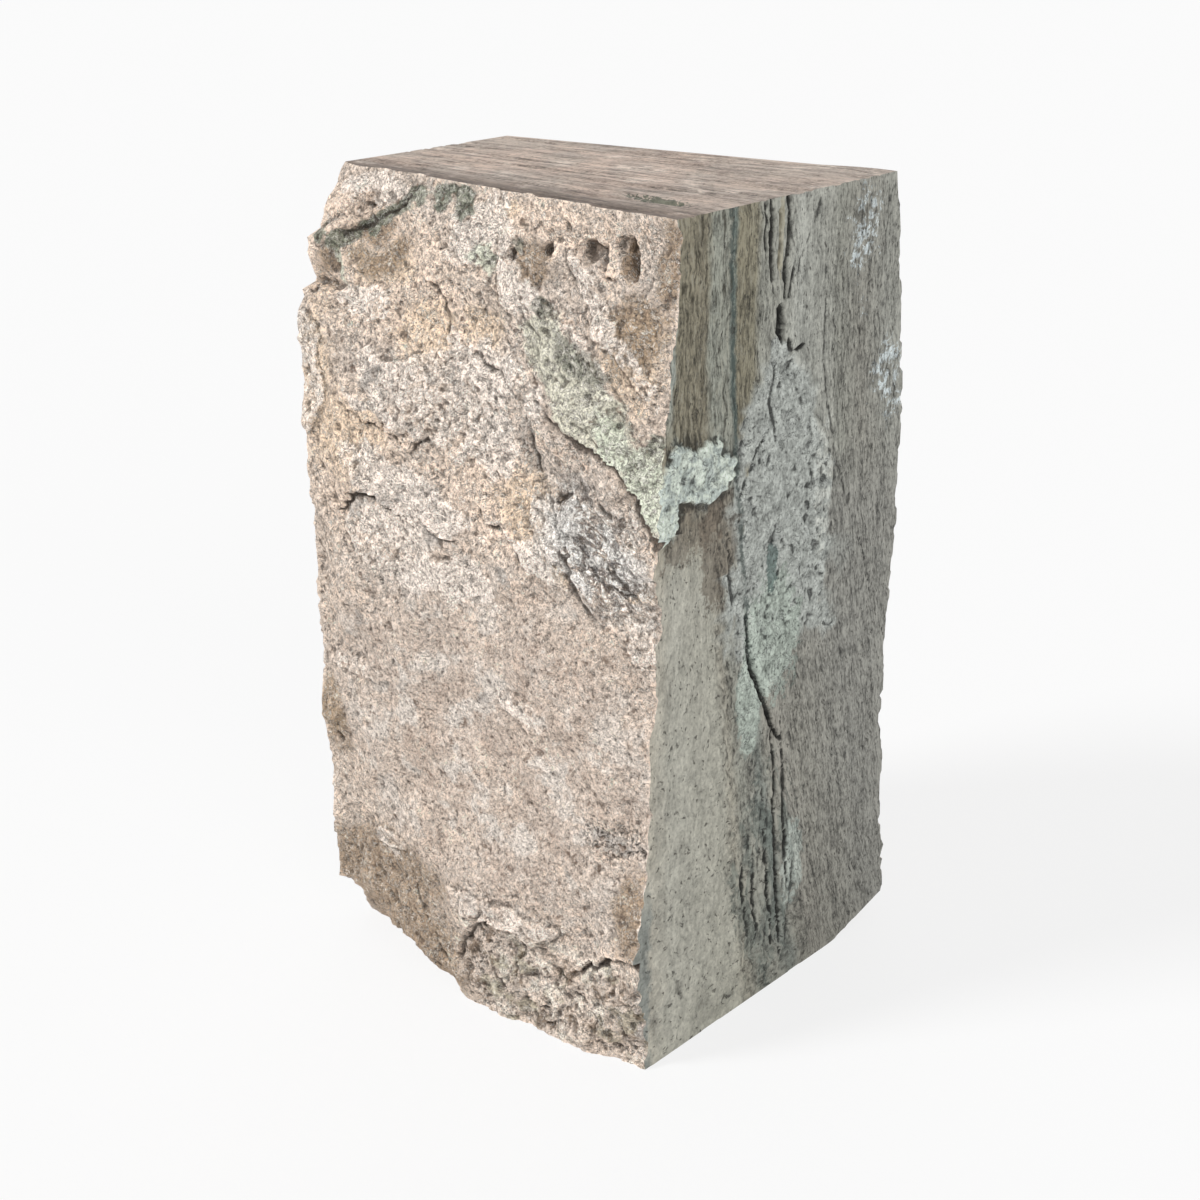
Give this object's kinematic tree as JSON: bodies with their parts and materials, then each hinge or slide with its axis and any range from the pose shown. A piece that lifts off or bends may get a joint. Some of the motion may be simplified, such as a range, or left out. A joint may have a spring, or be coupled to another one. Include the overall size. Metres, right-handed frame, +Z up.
{
  "type": "rough stone block pedestal",
  "caption": "Upright travertine block stand with a sawn top, base and ends, and rough natural beds front and back.",
  "frame": {"origin": "middle of the base, at the centre of the block's outline and on the floor", "axes": "+Z up, the front natural bed faces -Y, the deeper sawn end faces +X"},
  "size_m": [0.366, 0.382, 0.72],
  "materials": {
    "stone": "matt natural travertine: sawn top, base and ends, crusted and weathered beds"
  },
  "bodies": {
    "root": {"block": "stone"}
  },
  "joints": []
}
